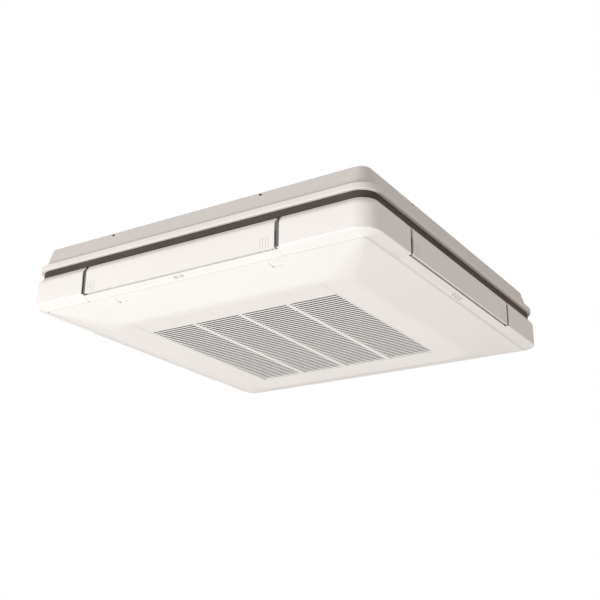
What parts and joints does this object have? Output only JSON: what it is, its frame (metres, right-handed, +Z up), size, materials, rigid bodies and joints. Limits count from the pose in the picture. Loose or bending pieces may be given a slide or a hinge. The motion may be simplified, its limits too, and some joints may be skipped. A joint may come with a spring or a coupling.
{
  "type": "ceiling-suspended cassette air conditioner",
  "caption": "Square ceiling-suspended air conditioner with a slotted drop-down suction panel underneath and a swinging outlet flap on each side.",
  "frame": {"origin": "centre of the four hanger slots, in the plane of the top face, which is the ceiling plane", "axes": "+Z up towards the ceiling; -Y is the front, the side with the panel's two latches; +X is the right-hand side seen from the front"},
  "size_m": [0.95, 0.95, 0.188],
  "materials": {
    "shell_paint": "satin, warm light grey",
    "ledge_plastic": "satin, warm white",
    "dark_plastic": "matt dark brown",
    "bearing_plastic": "matt, mid grey",
    "white_plastic": "satin, warm white",
    "frame_plastic": "matt, light grey",
    "foam": "matt expanded foam",
    "galvanised_steel": "dull zinc",
    "bright_steel": "ground",
    "motor_paint": "satin grey",
    "fan_plastic": "matt, dark grey",
    "rubber": "matt",
    "fin_aluminium": "dull",
    "copper": "drawn copper",
    "brass": "machined",
    "filter_plastic": "matt, dark grey",
    "filter_net": "fine net",
    "board": "satin green",
    "terminal_plastic": "matt"
  },
  "bodies": {
    "casing": {"bell_mouth": "frame_plastic", "cable_grommet": "rubber", "circuit_board": "board", "coil_bends": "copper", "coil_end_plates": "galvanised_steel", "control_box": "galvanised_steel", "control_box_lid": "galvanised_steel", "corner_cover_back_left": "white_plastic", "corner_cover_back_right": "white_plastic", "corner_cover_front_left": "white_plastic", "corner_cover_front_right": "white_plastic", "drain_pan": "foam", "drain_pump": "frame_plastic", "drain_socket": "frame_plastic", "fan_motor": "motor_paint", "flap_bearing_plates": "bearing_plastic", "flap_motor_back": "motor_paint", "flap_motor_front": "motor_paint", "flap_motor_left": "motor_paint", "flap_motor_right": "motor_paint", "flare_unions": "brass", "float_guide": "frame_plastic", "foam_liner": "foam", "gas_pipe": "copper", "hanger_brackets": "galvanised_steel", "hanger_screws": "galvanised_steel", "heat_exchanger": "fin_aluminium", "hinge_pins": "bright_steel", "liquid_pipe": "copper", "lower_frame": "frame_plastic", "motor_mounts": "rubber", "outlet_frame": "dark_plastic", "rim_strip_back": "white_plastic", "rim_strip_front": "white_plastic", "rim_strip_left": "white_plastic", "rim_strip_right": "white_plastic", "shadow_band": "dark_plastic", "terminal_block": "terminal_plastic", "top_shell": "shell_paint", "upper_frame": "ledge_plastic"},
    "flap_front": {"flap_front": "white_plastic", "flap_shaft_front": "bright_steel"},
    "flap_right": {"flap_right": "white_plastic", "flap_shaft_right": "bright_steel"},
    "flap_back": {"flap_back": "white_plastic", "flap_shaft_back": "bright_steel"},
    "flap_left": {"flap_left": "white_plastic", "flap_shaft_left": "bright_steel"},
    "door": {"suction_panel": "white_plastic", "intake_grille": "white_plastic", "badge_plate": "white_plastic", "filter_frame": "filter_plastic", "filter_mesh": "filter_net"},
    "latch_left": {"latch_left": "white_plastic"},
    "latch_right": {"latch_right": "white_plastic"},
    "fan": {"fan_wheel": "fan_plastic", "motor_shaft": "bright_steel", "hub_nut": "bright_steel"},
    "pump_impeller": {"pump_impeller": "fan_plastic"},
    "drain_float": {"drain_float": "fan_plastic"}
  },
  "joints": [
    {"name": "flap_front_swing", "type": "hinge", "parent": "casing", "child": "flap_front", "pos_m": [0, -0.4575, -0.0955], "axis": [-1, 0, 0], "range_deg": [0, 80]},
    {"name": "flap_right_swing", "type": "hinge", "parent": "casing", "child": "flap_right", "pos_m": [0.4575, 0, -0.0955], "axis": [0, -1, 0], "range_deg": [0, 80]},
    {"name": "flap_back_swing", "type": "hinge", "parent": "casing", "child": "flap_back", "pos_m": [0, 0.4575, -0.0955], "axis": [1, 0, 0], "range_deg": [0, 80]},
    {"name": "flap_left_swing", "type": "hinge", "parent": "casing", "child": "flap_left", "pos_m": [-0.4575, 0, -0.0955], "axis": [0, 1, 0], "range_deg": [0, 80]},
    {"name": "panel_hinge", "type": "hinge", "parent": "casing", "child": "door", "pos_m": [0, 0.436, -0.1575], "axis": [1, 0, 0], "range_deg": [0, 90]},
    {"name": "latch_left_slide", "type": "slide", "parent": "door", "child": "latch_left", "axis": [0, 0.9652, -0.2616], "range_m": [0, 0.006], "stiffness_N_per_m": 100, "springref_m": -0.003},
    {"name": "latch_right_slide", "type": "slide", "parent": "door", "child": "latch_right", "axis": [0, 0.9652, -0.2616], "range_m": [0, 0.006], "stiffness_N_per_m": 100, "springref_m": -0.003},
    {"name": "fan_spin", "type": "hinge", "parent": "casing", "child": "fan", "pos_m": [0, 0, -0.08], "axis": [0, 0, 1], "continuous": true},
    {"name": "pump_spin", "type": "hinge", "parent": "casing", "child": "pump_impeller", "pos_m": [-0.345, 0.338, -0.132], "axis": [0, 0, 1], "continuous": true},
    {"name": "float_rise", "type": "slide", "parent": "casing", "child": "drain_float", "axis": [0, 0, 1], "range_m": [0, 0.01]}
  ]
}
